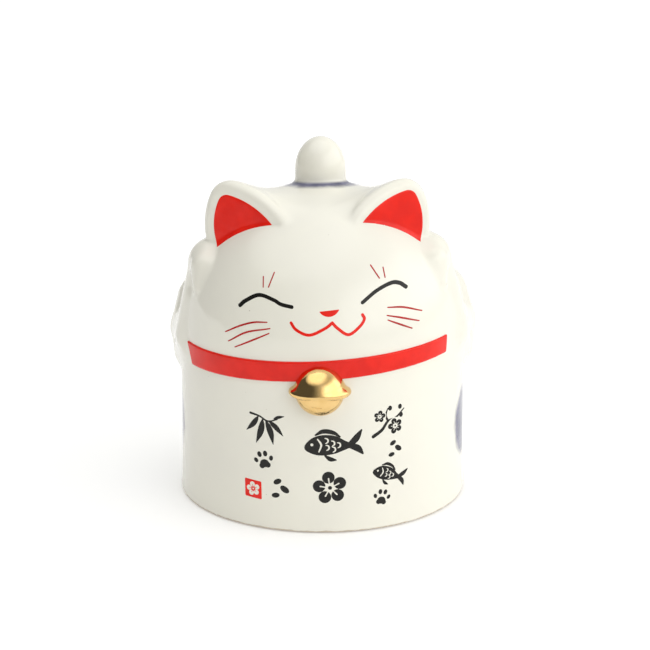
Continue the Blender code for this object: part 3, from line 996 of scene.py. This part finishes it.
# Collar: a band of low relief round the front, its ends cut on a slant.
COLLAR_SLOPE = math.radians(3.45)
COLLAR_MIDDLE = 57.7                            # height of its centre line at the front
COLLAR_HALF = 3.5
COLLAR_TAPER = 0.007                            # the band narrows towards the cat's left
COLLAR_ENDS = (-66.5, 58.7)                     # degrees round from the front
COLLAR_CUT = (1.8, 0.55, 0.12)                  # its right end's set-back, and both ends' slants
COLLAR_CORNER = 0.4
COLLAR_RELIEF = 0.6
COLLAR_BOX = (-64, 49, 56, 67)


def collar_band(q):
    angle = q[..., 0] / RADIUS
    middle = COLLAR_MIDDLE + math.tan(COLLAR_SLOPE) * RADIUS * np.sin(angle)
    aside = np.abs(q[..., 1] - middle) - COLLAR_HALF + COLLAR_TAPER * q[..., 0]
    rise = q[..., 1] - middle
    set_back, right_slant, left_slant = COLLAR_CUT
    right = (math.radians(COLLAR_ENDS[0]) * RADIUS + set_back - right_slant * rise) - q[..., 0]
    left = q[..., 0] - (math.radians(COLLAR_ENDS[1]) * RADIUS + left_slant * rise)
    right, left = (smooth_max(aside, end, COLLAR_CORNER) for end in (right, left))
    return smooth_max(right, left, COLLAR_CORNER)


def make_collar(red):
    piece = enamel("collar", collar_band, COLLAR_BOX, wrap_chart, red,
                   lift=COLLAR_RELIEF, edge=0.7, step=0.25)
    on_body(piece, replaces=["collar_band"])


def make_bell():
    low, high = BELL_LOW - MARGIN, BELL_HIGH + MARGIN
    piece = mesh_field("gold_bell", bell, low, high, BELL_GRID, gold_lustre())
    on_body(piece, replaces=["bell"])


def make_stopper():
    low, high = STOPPER_LOW - MARGIN, STOPPER_HIGH + MARGIN
    piece = mesh_field("soft_stopper", stopper, low, high, STOPPER_GRID, soft_plastic())
    on_body(piece, "stopper", ["base_stopper"])


# ------------------------------------------------------------------ stage

VIEW_AZIMUTH = math.radians(1.0)
VIEW_ELEVATION = math.radians(17.05)
VIEW_DISTANCE = 0.8
PIVOT = Vector((0, AXIS[1] * MM, 0.055))        # the distance and the angles are measured from it
AIM = Vector((0.0009, AXIS[1] * MM, 0.0586))
LENS = 125.06


def direction(azimuth, elevation):
    """Unit vector; azimuth 0 is towards the front and 90 degrees towards +X."""
    flat = math.cos(elevation)
    return Vector((math.sin(azimuth) * flat, -math.cos(azimuth) * flat, math.sin(elevation)))


def make_camera():
    data = bpy.data.cameras.new("camera")
    data.lens = LENS
    camera = bpy.data.objects.new("camera", data)
    stand = PIVOT + direction(VIEW_AZIMUTH, VIEW_ELEVATION) * VIEW_DISTANCE
    camera.location = stand
    camera.rotation_euler = (AIM - stand).to_track_quat("-Z", "Y").to_euler()
    bpy.context.scene.collection.objects.link(camera)
    bpy.context.scene.camera = camera


ROOM_FRONT = 0.66                               # how bright the room is on each side
ROOM_BACK = 0.75
ROOM_TOP = 1.7
ROOM_DIM = 0.10
ROOM_KEY = 2.0
ROOM_SEEN = 1.0                                 # and as the camera sees it behind the figure
ROOM_TINT = (1.0, 1.0, 0.99, 1.0)
KEY_TURN = math.radians(67)
# Where each light is: a direction, and the two cosines of the angle to it that it fades between.
BACK_SIDE = ((0, 1, 0), -0.1, 0.5)
DIM_SIDE = ((-0.97, -0.24, 0.0), 0.0, 0.75)
TOP_SIDE = ((-0.20, -0.05, 0.978), 0.70, 0.94)
KEY_SIDE = ((math.sin(KEY_TURN), -math.cos(KEY_TURN), 0), 0.42, 0.75)
KEY_OVER = ((0, 0, 1), 0.0, 0.22)               # the key light is above the floor
KEY_UNDER = ((0, 0, -1), -0.80, -0.55)          # and below the ceiling


def make_world():
    """A pale room: a broad soft light at the cat's left, a ceiling light and a dim side opposite."""
    world = bpy.data.worlds.new("room")
    bpy.context.scene.world = world
    world.use_nodes = True
    nodes, links = world.node_tree.nodes, world.node_tree.links
    background = nodes["Background"]
    background.inputs["Color"].default_value = ROOM_TINT
    place = nodes.new("ShaderNodeTexCoord")

    def side(towards, low, high):
        """0 away from a direction and 1 near it."""
        dot = nodes.new("ShaderNodeVectorMath")
        dot.operation = "DOT_PRODUCT"
        dot.inputs[1].default_value = towards
        links.new(place.outputs["Generated"], dot.inputs[0])
        ramp = nodes.new("ShaderNodeMapRange")
        ramp.interpolation_type = "SMOOTHSTEP"
        ramp.inputs["From Min"].default_value = low
        ramp.inputs["From Max"].default_value = high
        links.new(dot.outputs["Value"], ramp.inputs["Value"])
        return ramp.outputs["Result"]

    def blend(factor, a, b):
        mix = nodes.new("ShaderNodeMix")
        mix.data_type = "FLOAT"
        links.new(factor, mix.inputs["Factor"])
        for socket, value in ((mix.inputs["A"], a), (mix.inputs["B"], b)):
            if isinstance(value, float):
                socket.default_value = value
            else:
                links.new(value, socket)
        return mix.outputs["Result"]

    def both(a, b):
        product = nodes.new("ShaderNodeMath")
        product.operation = "MULTIPLY"
        links.new(a, product.inputs[0])
        links.new(b, product.inputs[1])
        return product.outputs["Value"]

    room = blend(side(*BACK_SIDE), ROOM_FRONT, ROOM_BACK)
    room = blend(side(*DIM_SIDE), room, ROOM_DIM)
    room = blend(side(*TOP_SIDE), room, ROOM_TOP)
    key = both(both(side(*KEY_SIDE), side(*KEY_OVER)), side(*KEY_UNDER))
    room = blend(key, room, ROOM_KEY)
    seen = nodes.new("ShaderNodeLightPath").outputs["Is Camera Ray"]
    links.new(blend(seen, room, ROOM_SEEN), background.inputs["Strength"])


FLOOR_HALF = 3.0
FLOOR_DROP = 0.0002                             # keeps the floor off the foot's face
FLOOR, FLOOR_DULL = (0.87, 0.87, 0.865), (0.85, 0.85, 0.845)
FLOOR_GLOW = 0.2


def make_floor():
    n = Nodes("floor")
    n.set(base_color=n.mix(n.noise(6, 2), FLOOR, FLOOR_DULL), roughness=0.7,
          emission_color=(1.0, 1.0, 1.0, 1.0), emission_strength=FLOOR_GLOW)
    mesh = bpy.data.meshes.new("floor")
    corners = [(x * FLOOR_HALF, y * FLOOR_HALF, 0) for x, y in ((-1, -1), (1, -1), (1, 1), (-1, 1))]
    mesh.from_pydata(corners, [], [(0, 1, 2, 3)])
    mesh.materials.append(n.material)
    floor = bpy.data.objects.new("floor", mesh)
    floor.location.z = -FLOOR_DROP
    bpy.context.scene.collection.objects.link(floor)


make_camera()
make_world()
make_floor()
bpy.context.scene.view_settings.view_transform = "Standard"

RED = paint_material("red_enamel", (0.84, 0.018, 0.008), (0.74, 0.013, 0.006))
FINE_RED = paint_material("fine_red", (0.48, 0.022, 0.020), (0.40, 0.018, 0.016))
BLACK = paint_material("black_enamel", (0.014, 0.013, 0.011), (0.008, 0.008, 0.007))

make_skin()
make_ear_reds(RED)
make_face(RED, FINE_RED, BLACK)
make_collar(RED)
make_chest(RED, BLACK)
make_bell()
make_stopper()
